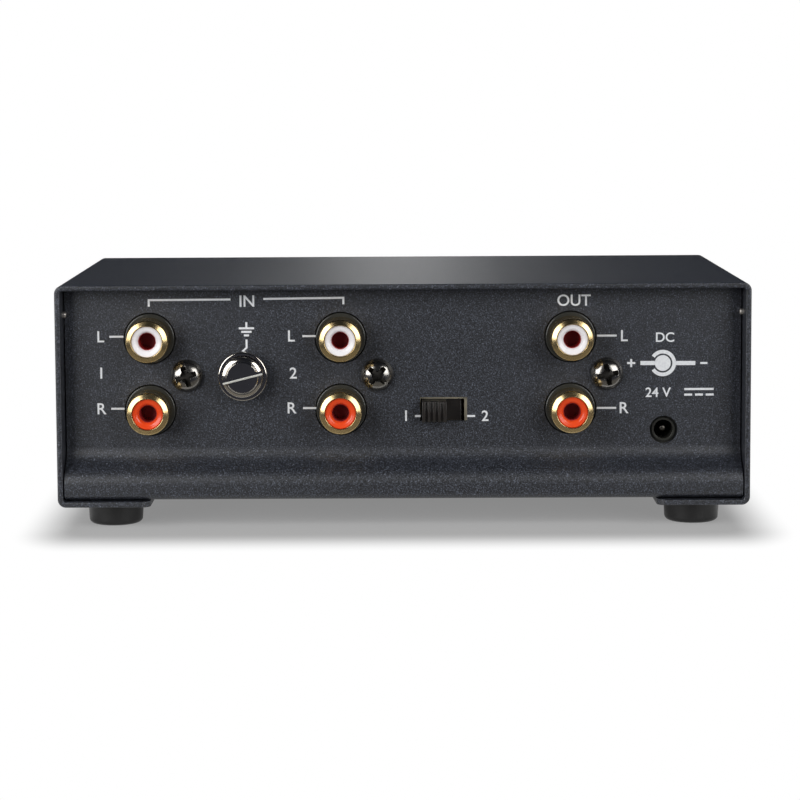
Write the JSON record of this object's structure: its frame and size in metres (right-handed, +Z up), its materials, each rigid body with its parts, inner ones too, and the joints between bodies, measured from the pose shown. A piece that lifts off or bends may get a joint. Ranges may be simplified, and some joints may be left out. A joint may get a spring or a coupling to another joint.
{
  "type": "phono preamplifier",
  "caption": "Small phono preamplifier in a folded dark steel case on rubber feet; recessed rear panel with paired phono sockets, earth screw, slide switch and power socket.",
  "frame": {"origin": "under the middle of the case, on the surface that it stands on", "axes": "+X to the right as seen from behind, +Y from the rear panel towards the front, +Z up"},
  "size_m": [0.135, 0.0738, 0.048],
  "materials": {
    "powder_coat": "fine-textured dark blue-grey powder coat",
    "foot_rubber": "smooth black rubber",
    "zinc_plate": "bright zinc plate",
    "black_nickel": "glossy black nickel",
    "bright_nickel": "bright nickel plate",
    "gold_plate": "bright gold plate",
    "white_insulator": "smooth moulded",
    "red_insulator": "smooth moulded",
    "black_moulding": "glossy moulded",
    "knob_plastic": "satin moulded",
    "tin_plate": "dull tin plate",
    "brown_laminate": "phenolic sheet",
    "board_laminate": "green solder mask on glass laminate",
    "wire_cover": "green wire covering",
    "chip_black": "moulded epoxy",
    "resistor_blue": "lacquer",
    "film_red": "moulded box",
    "can_sleeve": "shrunk sleeve",
    "white_ink": "matt screen print",
    "lamp_lens": "clear epoxy"
  },
  "bodies": {
    "case": {"case_cover": "powder_coat", "chassis_tray": "powder_coat", "foot_rear_left": "foot_rubber", "foot_rear_right": "foot_rubber", "foot_front_left": "foot_rubber", "foot_front_right": "foot_rubber", "foot_screws": "zinc_plate", "foot_press_nuts": "zinc_plate", "board_standoffs": "zinc_plate", "board_screws": "zinc_plate", "socket_screws": "black_nickel", "earth_bush": "bright_nickel", "earth_nut": "bright_nickel", "switch_frame": "bright_nickel", "input_1_shell_left": "gold_plate", "input_1_shell_right": "gold_plate", "input_2_shell_left": "gold_plate", "input_2_shell_right": "gold_plate", "output_shell_left": "gold_plate", "output_shell_right": "gold_plate", "input_1_insulator_left": "white_insulator", "input_2_insulator_left": "white_insulator", "output_insulator_left": "white_insulator", "input_1_insulator_right": "red_insulator", "input_2_insulator_right": "red_insulator", "output_insulator_right": "red_insulator", "input_1_body": "black_moulding", "input_2_body": "black_moulding", "output_body": "black_moulding", "power_socket_body": "black_moulding", "lamp_holder": "black_moulding", "input_1_contacts": "tin_plate", "input_2_contacts": "tin_plate", "output_contacts": "tin_plate", "socket_earth_strips": "tin_plate", "earth_lug": "tin_plate", "switch_terminals": "tin_plate", "power_socket_pin": "tin_plate", "power_socket_spring": "tin_plate", "switch_base": "brown_laminate", "circuit_board": "board_laminate", "earth_wire": "wire_cover", "amplifier_chips": "chip_black", "input_transistors": "chip_black", "voltage_regulator": "chip_black", "supply_diodes": "chip_black", "resistors": "resistor_blue", "film_capacitors": "film_red", "coupling_capacitors": "can_sleeve", "supply_capacitors": "can_sleeve", "power_lamp": "lamp_lens"},
    "earth_washer": {"earth_washer": "bright_nickel"},
    "earth_screw": {"earth_screw": "bright_nickel"},
    "switch_slider": {"switch_slider": "knob_plastic", "switch_bridges": "tin_plate"}
  },
  "joints": [
    {"name": "switch_slide", "type": "slide", "parent": "case", "child": "switch_slider", "axis": [1, 0, 0], "range_m": [0, 0.0033]},
    {"name": "earth_screw_travel", "type": "slide", "parent": "case", "child": "earth_washer", "axis": [0, -1, 0], "range_m": [0, 0.003]},
    {"name": "earth_screw_turn", "type": "hinge", "parent": "earth_washer", "child": "earth_screw", "pos_m": [-0.03122, -0.03045, 0.02992], "axis": [0, -1, 0], "range_deg": [0, 1543]}
  ],
  "couplings": [
    {"joint": "earth_screw_turn", "follows": "earth_screw_travel", "rad_per_m": 8976}
  ]
}
